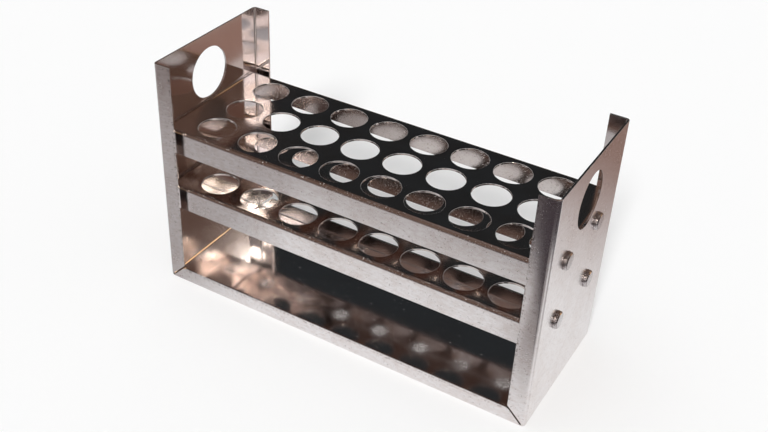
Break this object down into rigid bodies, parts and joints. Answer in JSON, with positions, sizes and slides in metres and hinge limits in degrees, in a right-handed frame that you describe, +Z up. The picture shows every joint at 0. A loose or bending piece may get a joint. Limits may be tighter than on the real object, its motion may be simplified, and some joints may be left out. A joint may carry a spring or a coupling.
{
  "type": "test tube rack",
  "caption": "Low open rack of folded bright steel sheet, with two riveted shelves of aligned round holes between end panels that have finger holes.",
  "frame": {"origin": "middle of the base's underside, on the surface that the rack stands on", "axes": "+X along the rack's length, towards its right end as seen from the front; +Y from front to rear; +Z up"},
  "size_m": [0.224, 0.085, 0.134],
  "materials": {
    "sheet": "polished with fine scratches",
    "rivet": "bright, slightly worn"
  },
  "bodies": {
    "root": {"frame": "sheet", "upper_shelf": "sheet", "lower_shelf": "sheet", "rivet_upper_left_front": "rivet", "rivet_upper_left_rear": "rivet", "rivet_upper_right_front": "rivet", "rivet_upper_right_rear": "rivet", "rivet_lower_left_front": "rivet", "rivet_lower_left_rear": "rivet", "rivet_lower_right_front": "rivet", "rivet_lower_right_rear": "rivet"}
  },
  "joints": []
}
